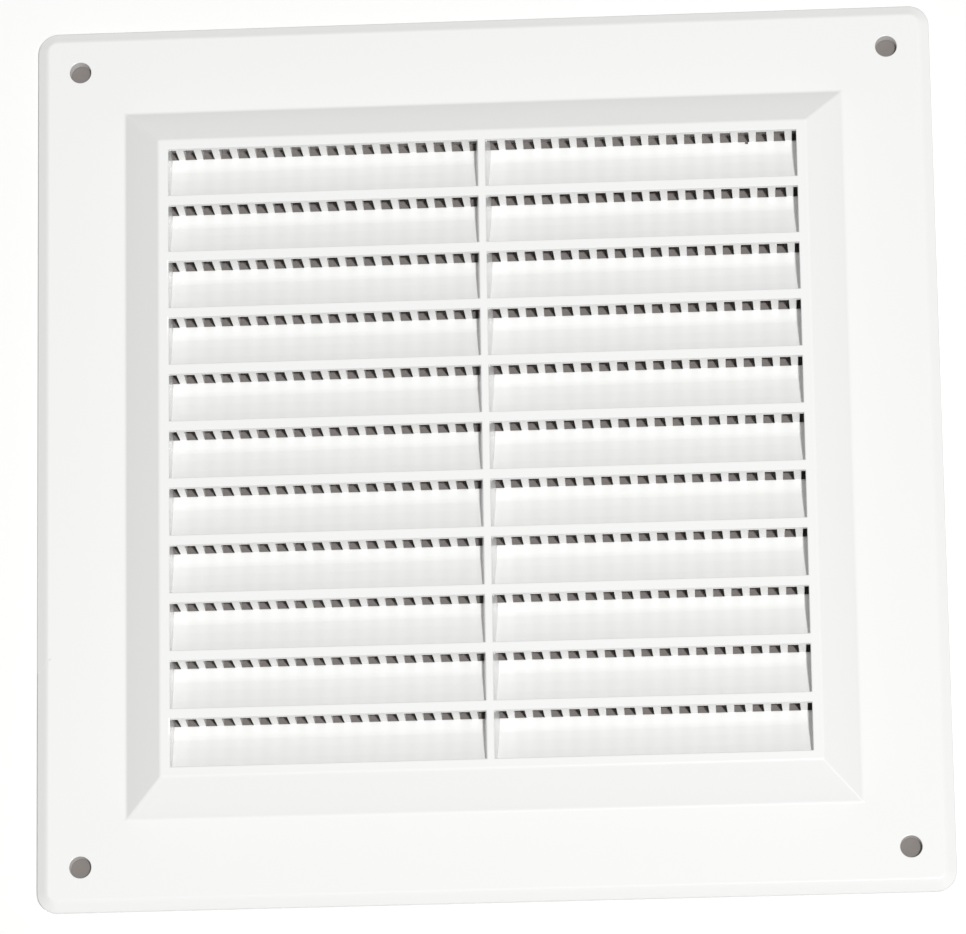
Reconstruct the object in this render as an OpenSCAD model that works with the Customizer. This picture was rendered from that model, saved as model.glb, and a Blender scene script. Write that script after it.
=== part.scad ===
// Fixed louvre ventilation grille with a moulded-in insect screen.
// One moulding: the wall side is z = 0, the front faces +Z and +Y is up when it is mounted.
// The louvre bars and the sloping blades are cut from the front. The screen is cut from the back:
// its pockets meet the front cuts along a slanted face under each bar, and the openings lie there.

/* [Flange] */
// Width of the flange
plate_w = 242; // [200:1:300]
// Height of the flange
plate_h = 242; // [200:1:300]
// Radius of the flange's corners, seen from the front
corner_r = 5.5; // [4:0.5:8]
// Height of the flange's flat front above the wall
flange_z = 4; // [3.5:0.1:6]
// Thickness of the flange and of the panel's sloping sides
wall = 2; // [1.2:0.1:2.4]
// Width of the rounded edge all round
rim_w = 3; // [1.5:0.1:3.5]
// Height of the straight edge below the rounding
edge_z = 0.9; // [0.4:0.1:1.5]
// Width of the foot that stands on the wall, all round the back
foot_w = 2.4; // [1.5:0.1:3.5]

/* [Screw holes] */
// Distance from the flange's edges to the centre of each screw hole
screw_inset = 11.75; // [10:0.25:14]
// Diameter of the screw holes
screw_d = 5.8; // [4:0.1:6.5]
// Thickness of the boss wall behind each screw hole
boss_wall = 2.1; // [1.5:0.1:3]

/* [Raised panel] */
// Width of the flat flange between its edge and the panel's slope
margin = 24; // [20:0.5:30]
// Width of the slope, seen from the front
slope_w = 9.85; // [6:0.05:14]
// Height of the panel above the flange
panel_rise = 8; // [6:0.1:10]
// Width of the flat border round the louvres
border = 2.7; // [1.5:0.1:5]

/* [Louvres] */
// Number of openings, one below the other
rows = 11; // [8:1:14]
// Height of each louvre's flat front bar
bar_h = 2.75; // [2:0.05:4]
// Height of the upright web at the back of each louvre
web_h = 3.3; // [2:0.1:5]
// Height of the webs' front above the wall
web_z = 3; // [2:0.1:4]
// Thickness of the bars, blades and webs
blade_t = 1.5; // [1.2:0.1:1.7]
// Step from each bar's face down to the blade above it
ledge = 4; // [2:0.1:4.5]
// How far each blade's front sags below a straight line from its web to its bar
blade_sag = 0.2; // [0.05:0.05:0.3]
// Width of the post down the middle, at its front
post_w = 2; // [1.5:0.1:3]
// Width of the same post at the webs
post_back_w = 3.8; // [2.8:0.1:5]

/* [Screen] */
// Distance from one screen rib to the next
rib_pitch = 4.82; // [4:0.02:6]
// How far the screen's middle rib lies to the right of the post's middle
rib_shift = 0.35; // [0:0.05:0.6]
// Thickness of a rib at its front
rib_front_t = 2.05; // [1.6:0.05:2.6]
// Thickness of a rib at its back
rib_back_t = 1.75; // [1.2:0.05:2.4]
// Drop from each bar's lower edge to the top of the web behind it
gap_h = 0.5; // [0.3:0.1:1]
// Depth of the top row's pockets behind the border
top_pocket = 2.2; // [1.5:0.1:3]
// Thickness of the collar round the louvres, seen from behind
collar_t = 2; // [1.2:0.1:3]

/* [Hidden] */
// Facets of a full circle
$fn = 64;
// Straight steps in the rounded edge
rim_steps = 4;
// Straight steps in the blades' hollow curve
blade_steps = 3;
// How far a cutting shape runs past the face that it cuts
over = 1;
// Narrowest end opening that is still cut
least_slot = 0.6;

face_z = flange_z + panel_rise;
face_w = plate_w - 2 * (margin + slope_w);
face_h = plate_h - 2 * (margin + slope_w);
// The louvred opening inside the border
open_w = face_w - 2 * border;
open_h = face_h - 2 * border;
// The bottom border stands in for the last bar
row_pitch = (open_h + bar_h) / rows;
web_back_z = web_z - blade_t;
bar_back_z = face_z - blade_t;
ledge_z = face_z - ledge;

// The blade between a web's foot and the bar below it, as run per unit of height
blade_run = row_pitch - bar_h - gap_h - web_h;
blade_slope = blade_run / (ledge_z - web_z);
blade_back_shift = blade_t * sqrt(1 + blade_slope * blade_slope);
// Height at which a blade's back runs into the back of the bar's upper side
bar_foot_z = ledge_z - (blade_back_shift - blade_t) / blade_slope;

// Underside of the bar above row i, counted from the top
function bar_y(i) = open_h / 2 - i * row_pitch;
// Back of the blade above a bar's underside, at height z
function blade_back(z) = bar_h + (ledge_z - z) * blade_slope - blade_back_shift;

// A prism along X whose outline is drawn in Y and Z
module along_x(length) {
  rotate([90, 0, 90]) linear_extrude(height = length, center = true) children();
}

// A prism along Y whose outline is drawn in X and Z
module along_y(length) {
  rotate([90, 0, 0]) linear_extrude(height = length, center = true) children();
}

// Half of the flange's section, out to a given half width, with its rounded edge
module edge_outline(half) {
  rise = flange_z - edge_z;
  arc = [for (s = [0 : rim_steps]) let (a = 90 * s / rim_steps)
    [half - rim_w * (1 - cos(a)), edge_z + rise * sin(a)]];
  polygon(concat([[0, 0], [half, 0]], arc, [[0, flange_z]]));
}

// The flange as a full slab with a rounded edge and round corners
module slab() {
  cx = plate_w / 2 - corner_r;
  cy = plate_h / 2 - corner_r;
  along_y(2 * cy) {
    edge_outline(plate_w / 2);
    mirror([1, 0]) edge_outline(plate_w / 2);
  }
  along_x(2 * cx) {
    edge_outline(plate_h / 2);
    mirror([1, 0]) edge_outline(plate_h / 2);
  }
  for (sx = [-1, 1], sy = [-1, 1])
    translate([sx * cx, sy * cy, 0]) rotate_extrude() edge_outline(corner_r);
}

// A four-sided frustum with mitred corners, w by h at the top
module frustum(w, h, z_low, z_high) {
  grow = (z_high - z_low) * slope_w / panel_rise;
  intersection() {
    along_y(h + 2 * grow)
      polygon([[-w / 2 - grow, z_low], [w / 2 + grow, z_low], [w / 2, z_high], [-w / 2, z_high]]);
    along_x(w + 2 * grow)
      polygon([[-h / 2 - grow, z_low], [h / 2 + grow, z_low], [h / 2, z_high], [-h / 2, z_high]]);
  }
}

module screw_places() {
  for (sx = [-1, 1], sy = [-1, 1])
    translate([sx * (plate_w / 2 - screw_inset), sy * (plate_h / 2 - screw_inset), 0]) children();
}

// The space behind the flange and the panel's slopes, open to the wall
module back_hollow() {
  in_w = plate_w - 2 * foot_w;
  in_h = plate_h - 2 * foot_w;
  in_r = corner_r - foot_w;
  // How far the slope's inner face lies inside its outer face
  inset = wall * sqrt(slope_w * slope_w + panel_rise * panel_rise) / panel_rise;
  drop = inset * panel_rise / slope_w;
  difference() {
    union() {
      translate([0, 0, -over]) linear_extrude(height = over + flange_z - wall) {
        square([in_w - 2 * in_r, in_h], center = true);
        square([in_w, in_h - 2 * in_r], center = true);
        for (sx = [-1, 1], sy = [-1, 1])
          translate([sx * (in_w / 2 - in_r), sy * (in_h / 2 - in_r)]) circle(r = in_r);
      }
      frustum(face_w, face_h, -over, face_z - drop);
    }
    collar();
    screw_places() translate([0, 0, -2 * over])
      cylinder(d = screw_d + 2 * boss_wall, h = flange_z + 2 * over);
  }
}

// The block round the louvres that the screen's pockets are cut into
module collar() {
  side = open_w / 2 + collar_t;
  low = -open_h / 2 - collar_t;
  high = open_h / 2 + top_pocket + collar_t;
  translate([-side, low, -2 * over]) cube([2 * side, high - low, face_z + 4 * over]);
}

// Outline of the middle post, wider towards the back
module post_outline() {
  grow = (post_back_w - post_w) / 2 / (face_z - web_z);
  top = post_w / 2 - over * grow;
  polygon([[-post_back_w / 2, -2 * over], [post_back_w / 2, -2 * over], [post_back_w / 2, web_z],
    [top, face_z + over], [-top, face_z + over], [-post_back_w / 2, web_z]]);
}

// Front of a blade, from its web's foot down to the bar below
function blade_front(y_web) = [for (s = [0 : blade_steps]) let (t = s / blade_steps)
  [y_web - t * blade_run, web_z + t * (ledge_z - web_z) - 4 * blade_sag * t * (1 - t)]];

// Everything in front of the webs and blades, on both sides of the post
module front_cuts() {
  difference() {
    along_x(open_w)
      for (i = [0 : rows - 1]) {
        y = bar_y(i);
        y_web = y - gap_h - web_h;
        polygon(concat([[y, face_z + over], [y, face_z], [y - gap_h, web_z]], blade_front(y_web),
          [[y_web - blade_run, face_z + over]]));
      }
    along_y(open_h + 2 * over) post_outline();
  }
}

// Outline of the gaps between the ribs, wider towards the back
module slot_outline() {
  grow = (rib_front_t - rib_back_t) / 2 / (bar_back_z - web_back_z);
  front = (rib_pitch - rib_front_t) / 2 - over * grow;
  back = (rib_pitch - rib_back_t) / 2 + (web_back_z + over) * grow;
  last = floor((open_w / 2 - least_slot + front - rib_shift) / rib_pitch - 0.5);
  intersection() {
    difference() {
      for (k = [-last - 1 : last])
        translate([rib_shift + (k + 0.5) * rib_pitch, 0])
          polygon([[-back, -over], [back, -over], [front, bar_back_z + over], [-front, bar_back_z + over]]);
      post_outline();
    }
    translate([-open_w / 2, -2 * over]) square([open_w, face_z + 4 * over]);
  }
}

// Outline of the hollow behind a bar and its blade, above the web's top edge at a given height
module pocket_outline(i, web_top) {
  y = bar_y(i);
  bar_back_y = y + bar_h - blade_t;
  blade_foot_y = y + blade_back(web_back_z);
  polygon([[web_top, -2 * over], [web_top, bar_back_z], [bar_back_y, bar_back_z],
    [bar_back_y, bar_foot_z], [blade_foot_y, web_back_z], [blade_foot_y, -2 * over]]);
}

// The pockets behind the bars, between the ribs
module screen_cuts() {
  low = -open_h / 2;
  high = open_h / 2 + top_pocket;
  intersection() {
    translate([0, (low + high) / 2, 0]) along_y(high - low) slot_outline();
    along_x(open_w + 2 * over)
      for (i = [0 : rows - 1])
        pocket_outline(i, bar_y(i) - gap_h);
  }
}

// The plain hollow behind the last blade, which ends on the bottom border
module last_hollow() {
  difference() {
    along_x(open_w) intersection() {
      pocket_outline(rows, bar_y(rows));
      translate([-open_h / 2, -2 * over]) square([open_h, face_z]);
    }
    along_y(open_h + 2 * over) post_outline();
  }
}

module grille() {
  color("white") difference() {
    union() {
      slab();
      frustum(face_w, face_h, 0, face_z);
    }
    back_hollow();
    translate([-open_w / 2, -open_h / 2, -over]) cube([open_w, open_h + top_pocket, over + web_back_z]);
    front_cuts();
    screen_cuts();
    last_hollow();
    screw_places() translate([0, 0, -over]) cylinder(d = screw_d, h = flange_z + 2 * over);
  }
}

grille();
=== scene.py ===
# A white ventilation grille, one injection moulding, lying on its back in soft studio light.
# The imported solid is the frame. Its edges are rounded here as the mould leaves them,
# and its skin gets the satin finish, bands of painted shade on the blades, and the wear that the real one
# shows.
import math

import bmesh
import bpy
from mathutils import Matrix, Vector


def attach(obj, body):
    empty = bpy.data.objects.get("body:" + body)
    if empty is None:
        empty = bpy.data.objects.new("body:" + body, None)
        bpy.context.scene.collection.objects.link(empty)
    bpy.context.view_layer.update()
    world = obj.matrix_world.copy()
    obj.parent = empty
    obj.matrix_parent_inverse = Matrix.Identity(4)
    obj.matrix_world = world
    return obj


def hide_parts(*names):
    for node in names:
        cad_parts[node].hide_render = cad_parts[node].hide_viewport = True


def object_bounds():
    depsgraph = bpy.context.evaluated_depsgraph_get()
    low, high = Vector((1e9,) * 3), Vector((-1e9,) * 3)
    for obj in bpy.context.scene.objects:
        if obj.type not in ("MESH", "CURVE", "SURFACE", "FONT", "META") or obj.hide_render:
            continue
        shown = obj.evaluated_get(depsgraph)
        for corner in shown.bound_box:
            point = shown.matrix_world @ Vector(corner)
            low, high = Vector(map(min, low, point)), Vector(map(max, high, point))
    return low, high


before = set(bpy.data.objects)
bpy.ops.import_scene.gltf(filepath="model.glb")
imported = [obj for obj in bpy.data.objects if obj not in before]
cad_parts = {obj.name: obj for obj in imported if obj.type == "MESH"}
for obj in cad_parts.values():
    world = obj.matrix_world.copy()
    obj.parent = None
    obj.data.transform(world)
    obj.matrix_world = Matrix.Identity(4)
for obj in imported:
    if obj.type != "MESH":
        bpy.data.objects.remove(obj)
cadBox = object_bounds()
mm = 0.001
print("frame loaded, box in mm:", [round(v / mm, 2) for corner in cadBox for v in corner])


# An sRGB hex value as the linear colour that the shaders use
def linearColour(hexText):
    values = [int(hexText[i : i + 2], 16) / 255 for i in (1, 3, 5)]
    return [v / 12.92 if v <= 0.04045 else ((v + 0.055) / 1.055) ** 2.4 for v in values] + [1.0]


# A node with its settings and links. A setting goes to the input of that name or number,
# and otherwise to the node itself.
def addNode(tree, kind, settings=None, links=None):
    node = tree.nodes.new(kind)
    for name, value in (settings or {}).items():
        if isinstance(name, int) or name in node.inputs:
            node.inputs[name].default_value = value
        else:
            setattr(node, name, value)
    for name, socket in (links or {}).items():
        tree.links.new(socket, node.inputs[name])
    return node


def emptyMaterial(name):
    material = bpy.data.materials.new(name)
    material.use_nodes = True
    material.node_tree.nodes.clear()
    return material, material.node_tree


# The photograph's own view, fitted to the grille's corners, screw holes and panel
view = {
    "lens": 223.6,  # on a 36 mm wide sensor
    "tilt": -13.32,  # degrees about X, so that the underside of each bar shows
    "turn": -3.41,  # degrees about Y
    "roll": 0.888,  # degrees about the line of sight
    "aside": (1.52, 3.10),  # mm, the plate's middle right of and above the line of sight
    "distance": 1603.1,  # mm
}


def addCamera():
    data = bpy.data.cameras.new("photoCamera")
    data.lens = view["lens"]
    data.sensor_width = 36
    data.clip_start = 0.05
    data.clip_end = 50
    camera = bpy.data.objects.new("photoCamera", data)
    bpy.context.scene.collection.objects.link(camera)
    turned = (
        Matrix.Rotation(math.radians(view["roll"]), 4, "Z")
        @ Matrix.Rotation(math.radians(view["tilt"]), 4, "X")
        @ Matrix.Rotation(math.radians(view["turn"]), 4, "Y")
    )
    away = Matrix.Translation((view["aside"][0] * mm, view["aside"][1] * mm, -view["distance"] * mm))
    camera.matrix_world = (away @ turned).inverted()
    bpy.context.scene.camera = camera


# Radii and set-backs are in mm, as a mould for a cover of this size has them
mould = {
    "flangeTop": 4.0,  # height of the flange's flat front
    "webTop": 3.0,  # height of the webs' front
    "panelHalf": 87.15,  # half the width of the raised panel's flat face
    "flangeStart": 97.0,  # half the width at the foot of the panel's slopes
    "foot": 0.5,  # where a slope meets the flange
    "panelEdge": 0.45,  # where a slope meets the panel's face
    "mitre": 0.45,  # where two slopes meet
    "front": 0.28,  # the louvres', border's and post's front edges
    "valley": 0.9,  # where a web meets its blade
    "corner": 0.3,  # where webs and blades run into the post, the border and the bars
    "webEdge": 0.16,  # the webs' upper edges
    "inner": 0.1,  # the screen's ribs
    "screwRim": 0.22,  # the screw holes' front edges
    "base": 0.2,  # the edges that stand on the wall
    "arcSteps": 3,  # straight steps in each rounding
    "smoothUnder": 32,  # degrees; flatter edges are shaded smooth
}


# How far the mould rounds an edge back, in mm, told by the faces that meet in it
def rounding(edge):
    if len(edge.link_faces) != 2 or edge.calc_face_angle(0) < math.radians(2):
        return 0
    first, second = (face.normal for face in edge.link_faces)
    middle = (edge.verts[0].co + edge.verts[1].co) / 2 / mm
    across = max(abs(middle.x), abs(middle.y))
    hollow = edge.calc_face_angle_signed(0) < 0
    beside = mould["panelHalf"] - 1 < across < mould["flangeStart"] + 1
    slopes = [beside and 0.7 < n.z < 0.85 for n in (first, second)]
    flat = [n.z > 0.99 for n in (first, second)]
    upright = [abs(n.z) < 0.3 for n in (first, second)]
    blade = [0.5 < n.z < 0.95 and n.y > 0.3 for n in (first, second)]
    if all(slopes):
        return mould["mitre"]
    if any(slopes) and any(flat):
        return mould["foot"] if hollow else mould["panelEdge"]
    if middle.z < 0.05:
        return 0 if hollow else mould["base"]
    if across > mould["flangeStart"]:
        rim = any(flat) and any(upright) and abs(middle.z - mould["flangeTop"]) < 0.1
        return mould["screwRim"] if rim else 0
    if abs(middle.z - cadBox[1].z / mm) < 0.05:
        return mould["front"]
    if hollow and any(blade):
        return mould["valley"] if any(flat) else mould["corner"]
    if abs(middle.z - mould["webTop"]) < 0.05:
        return mould["corner"] if hollow else mould["webEdge"]
    return mould["inner"]


# The flange's rim. The solid has a quarter round there, and the mould a bevel with a soft
# shoulder. Each line gives a ring's set-back and height in the solid, then those of the bevel, in mm.
rim = {
    "cornerRadius": 5.5,
    "rings": [
        (0.0, 0.9, 0.0, 1.71),
        (0.228, 2.086, 0.25, 1.91),
        (0.879, 3.092, 2.0, 3.33),
        (1.852, 3.764, 2.75, 3.84),
        (3.0, 4.0, 3.3, 4.0),
    ],
}


def bevelRim(body):
    inner = cadBox[1].x / mm - rim["cornerRadius"]
    for vert in body.verts:
        x, y, z = vert.co / mm
        beyond = Vector((max(abs(x) - inner, 0), max(abs(y) - inner, 0)))
        setBack = rim["cornerRadius"] - beyond.length
        for near, far in zip(rim["rings"], rim["rings"][1:]):
            share = (setBack - near[0]) / (far[0] - near[0])
            if -0.01 < share < 1.01 and abs(near[1] + share * (far[1] - near[1]) - z) < 0.1:
                shift = near[2] + share * (far[2] - near[2]) - setBack
                outward = beyond.normalized()
                vert.co.x -= math.copysign(outward.x * shift, x) * mm
                vert.co.y -= math.copysign(outward.y * shift, y) * mm
                vert.co.z = (near[3] + share * (far[3] - near[3])) * mm
                break


# Wear that the real one shows: a chip out of the first row's web, and a crack across the left rim
wear = {
    "chip": ((70.6, 83.4, 1.0), (71.4, 84.3, 3.4)),  # mm, two corners of the missing bit
    "crack": [  # mm, points on the rim's skin, from its edge inwards
        (-121.3, -56.75, 1.6),
        (-120.6, -56.25, 2.24),
        (-119.8, -55.7, 2.88),
        (-119.1, -55.0, 3.4),
        (-118.5, -54.3, 3.7),
        (-117.9, -53.6, 3.95),
        (-117.2, -52.95, 4.06),
    ],
    "crackHalf": (0.2, 0.2, 0.19, 0.17, 0.14, 0.1, 0.04),  # mm, half its width at each point
    "crackDepth": 0.28,  # mm
}


# The missing bits as one closed mesh, to be cut out of the grille
def wearCutter():
    body = bmesh.new()
    low, high = (Vector(corner) * mm for corner in wear["chip"])
    bmesh.ops.create_cube(
        body,
        size=1,
        matrix=Matrix.Translation((low + high) / 2) @ Matrix.Diagonal((*(high - low), 1)),
    )
    sections = []
    path = [Vector(point) * mm for point in wear["crack"]]
    for i, point in enumerate(path):
        along = path[min(i + 1, len(path) - 1)] - path[max(i - 1, 0)]
        aside = along.cross(Vector((0, 0, 1))).normalized() * wear["crackHalf"][i] * mm
        up = aside.cross(along).normalized()
        tip = point - up * min(wear["crackDepth"], 2 * wear["crackHalf"][i]) * mm
        raised = point + up * 0.15 * mm
        sections.append([body.verts.new(v) for v in (raised + aside, raised - aside, tip)])
    for before, after in zip(sections, sections[1:]):
        for i in range(3):
            j = (i + 1) % 3
            body.faces.new((before[i], before[j], after[j], after[i]))
    body.faces.new(sections[0])
    body.faces.new(sections[-1])
    bmesh.ops.recalc_face_normals(body, faces=body.faces)
    mesh = bpy.data.meshes.new("missingBits")
    body.to_mesh(mesh)
    body.free()
    cutter = bpy.data.objects.new("missingBits", mesh)
    bpy.context.scene.collection.objects.link(cutter)
    return cutter


# The mesh of an object as its modifiers leave it
def finishedMesh(piece):
    return bpy.data.meshes.new_from_object(piece.evaluated_get(bpy.context.evaluated_depsgraph_get()))


# The grille's own solid with its rim, worn, merged back to plain faces and rounded edge by edge
def mouldedGrille():
    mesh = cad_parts["grille"].data.copy()
    body = bmesh.new()
    body.from_mesh(mesh)
    bmesh.ops.remove_doubles(body, verts=body.verts, dist=0.001 * mm)
    bevelRim(body)
    body.to_mesh(mesh)
    body.free()
    piece = bpy.data.objects.new("mouldedGrille", mesh)
    bpy.context.scene.collection.objects.link(piece)
    cutter = wearCutter()
    cut = piece.modifiers.new("wear", "BOOLEAN")
    cut.operation = "DIFFERENCE"
    cut.solver = "EXACT"
    cut.object = cutter
    mesh = finishedMesh(piece)
    piece.modifiers.clear()
    bpy.data.objects.remove(cutter)
    body = bmesh.new()
    body.from_mesh(mesh)
    bmesh.ops.remove_doubles(body, verts=body.verts, dist=0.001 * mm)
    bmesh.ops.dissolve_limit(body, angle_limit=math.radians(0.3), verts=body.verts, edges=body.edges)
    body.normal_update()
    widest = max(mould[name] for name in ("foot", "panelEdge", "mitre", "front", "valley"))
    weight = body.edges.layers.float.new("bevel_weight_edge")
    for edge in body.edges:
        edge[weight] = rounding(edge) / widest
    body.to_mesh(mesh)
    body.free()
    piece.data = mesh
    bevel = piece.modifiers.new("mouldRadii", "BEVEL")
    bevel.limit_method = "WEIGHT"
    bevel.width = widest * mm
    bevel.segments = mould["arcSteps"]
    bevel.use_clamp_overlap = False
    rounded = finishedMesh(piece)
    piece.modifiers.clear()
    piece.data = rounded
    rounded.shade_smooth()
    rounded.set_sharp_from_angle(angle=math.radians(mould["smoothUnder"]))
    even = piece.modifiers.new("flatFacesFlat", "WEIGHTED_NORMAL")
    even.keep_sharp = True
    return piece


# Moulded high-impact polystyrene: white through and through, with a fine spark-eroded satin skin
# that scatters the lamp's reflection into a soft glow. Its colour carries painted shade on the blades:
# faint greyer bands midway between the screen's ribs behind them, where the thin blade lets light through to
# the dark behind it.
polystyrene = {
    "colour": "#F5F5F4",
    "roughness": 0.2,
    "ior": 1.59,
    "grainMm": 0.35,  # the real grain is about 0.05 mm, too fine to show
    "grainDepth": 0.004,
    "waveMm": 38,
    "waveDepth": 0.05,
    "bandPitch": 4.82,  # mm, as the screen's ribs stand
    "bandShift": 0.35,  # mm
    # painted shade: the blades' colour midway between the ribs
    "ribShadeColour": "#F3F3F2",  # between the ribs
    "bandHalf": 84.4,  # mm, half the width of the louvres
    "bandTop": 8.2,  # mm, below the bars' and the border's front
}


def addMath(tree, operation, values=None, links=None):
    return addNode(tree, "ShaderNodeMath", {"operation": operation, **(values or {})}, links).outputs[0]


# The plastic's colour with painted shade, a little greyer on the blades midway between the ribs behind them
def paintedRibShade(tree, place):
    turn = 2 * math.pi / (polystyrene["bandPitch"] * mm)
    half = polystyrene["bandHalf"] * mm
    axes = addNode(tree, "ShaderNodeSeparateXYZ", links={"Vector": place}).outputs
    phase = {1: turn, 2: -turn * polystyrene["bandShift"] * mm}
    wave = addMath(tree, "COSINE", links={0: addMath(tree, "MULTIPLY_ADD", phase, {0: axes["X"]})})
    share = addMath(tree, "MULTIPLY_ADD", {1: -0.5, 2: 0.5}, {0: wave})
    across = addMath(tree, "ABSOLUTE", links={0: axes["X"]})
    upward = addMath(tree, "ABSOLUTE", links={0: axes["Y"]})
    inside = addMath(tree, "LESS_THAN", {1: half}, {0: addMath(tree, "MAXIMUM", links={0: across, 1: upward})})
    below = addMath(tree, "LESS_THAN", {1: polystyrene["bandTop"] * mm}, {0: axes["Z"]})
    onBlades = addMath(tree, "MULTIPLY", links={0: inside, 1: below})
    mixed = addNode(
        tree,
        "ShaderNodeMixRGB",
        {
            "Color1": linearColour(polystyrene["colour"]),
            "Color2": linearColour(polystyrene["ribShadeColour"]),
        },
        {"Fac": addMath(tree, "MULTIPLY", links={0: share, 1: onBlades})},
    )
    return mixed.outputs["Color"]


def mouldedPolystyrene():
    material, tree = emptyMaterial("mouldedPolystyrene")
    place = addNode(tree, "ShaderNodeTexCoord").outputs["Object"]
    grain = addNode(
        tree,
        "ShaderNodeTexNoise",
        {"Scale": 1 / (polystyrene["grainMm"] * mm), "Detail": 2.0, "Roughness": 0.6},
        {"Vector": place},
    )
    wave = addNode(
        tree,
        "ShaderNodeTexNoise",
        {"Scale": 1 / (polystyrene["waveMm"] * mm), "Detail": 1.0},
        {"Vector": place},
    )
    waveBump = addNode(
        tree,
        "ShaderNodeBump",
        {"Strength": 1.0, "Distance": polystyrene["waveDepth"] * mm},
        {"Height": wave.outputs["Fac"]},
    )
    grainBump = addNode(
        tree,
        "ShaderNodeBump",
        {"Strength": 1.0, "Distance": polystyrene["grainDepth"] * mm},
        {"Height": grain.outputs["Fac"], "Normal": waveBump.outputs["Normal"]},
    )
    skin = addNode(
        tree,
        "ShaderNodeBsdfPrincipled",
        {"Roughness": polystyrene["roughness"], "IOR": polystyrene["ior"]},
        {"Base Color": paintedRibShade(tree, place), "Normal": grainBump.outputs["Normal"]},
    )
    addNode(tree, "ShaderNodeOutputMaterial", links={"Surface": skin.outputs["BSDF"]})
    return material


# A plain pale floor. Under the plate it has a shallow recess painted darker: painted shade where the grille
# shades the floor, so that the grille's openings look dark.
floorPlan = {
    "half": 4000,  # mm
    "colour": "#FCFCFB",
    "recessHalf": 117,  # mm, inside the foot that the plate stands on
    "recessDepth": 0.1,  # mm
    # painted shade under the plate, seen through the openings
    "shadePatchColour": "#86807D",
}


def paintedBoard(name, hexText):
    material, tree = emptyMaterial(name)
    paint = addNode(
        tree,
        "ShaderNodeBsdfPrincipled",
        {"Base Color": linearColour(hexText), "Roughness": 0.8},
    )
    addNode(tree, "ShaderNodeOutputMaterial", links={"Surface": paint.outputs["BSDF"]})
    return material


def addFloor():
    half, recess = floorPlan["half"] * mm, floorPlan["recessHalf"] * mm
    level, depth = -0.02 * mm, -floorPlan["recessDepth"] * mm
    body = bmesh.new()
    corners = [(-1, -1), (1, -1), (1, 1), (-1, 1)]
    rings = [
        [body.verts.new((x * half, y * half, level)) for x, y in corners],
        [body.verts.new((x * recess, y * recess, level)) for x, y in corners],
        [body.verts.new((x * recess, y * recess, depth)) for x, y in corners],
    ]
    for step, (outer, inner) in enumerate(zip(rings, rings[1:])):
        for i in range(4):
            j = (i + 1) % 4
            body.faces.new((outer[i], outer[j], inner[j], inner[i])).material_index = step
    body.faces.new(rings[2]).material_index = 1
    mesh = bpy.data.meshes.new("paleFloor")
    body.to_mesh(mesh)
    body.free()
    mesh.materials.append(paintedBoard("palePaint", floorPlan["colour"]))
    # the recess gets the darker paint, a painted shade under the plate
    mesh.materials.append(paintedBoard("shadePatchPaint", floorPlan["shadePatchColour"]))
    floor = bpy.data.objects.new("paleFloor", mesh)
    bpy.context.scene.collection.objects.link(floor)


# A small lamp high over the lower right corner draws the louvres' crisp shadows, and a broad one
# and the pale surround soften them
light = {
    "key": (500, -580, 2930),  # mm
    "keySize": 150,  # mm
    "keyPower": 65,  # W
    "fill": (1100, -900, 1100),  # mm
    "fillSize": 900,  # mm
    "fillPower": 1,  # W
    "surround": 0.32,
    "backdrop": 0.96,
}


def addLamp(name, place, size, power):
    data = bpy.data.lights.new(name, "AREA")
    data.shape = "DISK"
    data.size = size * mm
    data.energy = power
    lamp = bpy.data.objects.new(name, data)
    bpy.context.scene.collection.objects.link(lamp)
    lamp.location = Vector(place) * mm
    lamp.rotation_euler = lamp.location.to_track_quat("Z", "Y").to_euler()


def addLight():
    addLamp("keyLamp", light["key"], light["keySize"], light["keyPower"])
    addLamp("fillLamp", light["fill"], light["fillSize"], light["fillPower"])
    world = bpy.data.worlds.new("paleSurround")
    bpy.context.scene.world = world
    world.use_nodes = True
    tree = world.node_tree
    tree.nodes.clear()
    path = addNode(tree, "ShaderNodeLightPath")
    glow = addNode(tree, "ShaderNodeBackground", {"Color": (1, 1, 1, 1), "Strength": light["surround"]})
    seen = addNode(tree, "ShaderNodeBackground", {"Color": (1, 1, 1, 1), "Strength": light["backdrop"]})
    both = addNode(
        tree,
        "ShaderNodeMixShader",
        links={0: path.outputs["Is Camera Ray"], 1: glow.outputs[0], 2: seen.outputs[0]},
    )
    addNode(tree, "ShaderNodeOutputWorld", links={"Surface": both.outputs[0]})


bpy.context.scene.view_settings.view_transform = "Standard"
addCamera()
addFloor()
addLight()
print("camera, floor and light are in place")

grille = mouldedGrille()
print("grille rounded:", len(grille.data.polygons), "faces")
grille.data.materials.clear()
grille.data.materials.append(mouldedPolystyrene())
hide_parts("grille")
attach(grille, "root")
print("grille dressed")
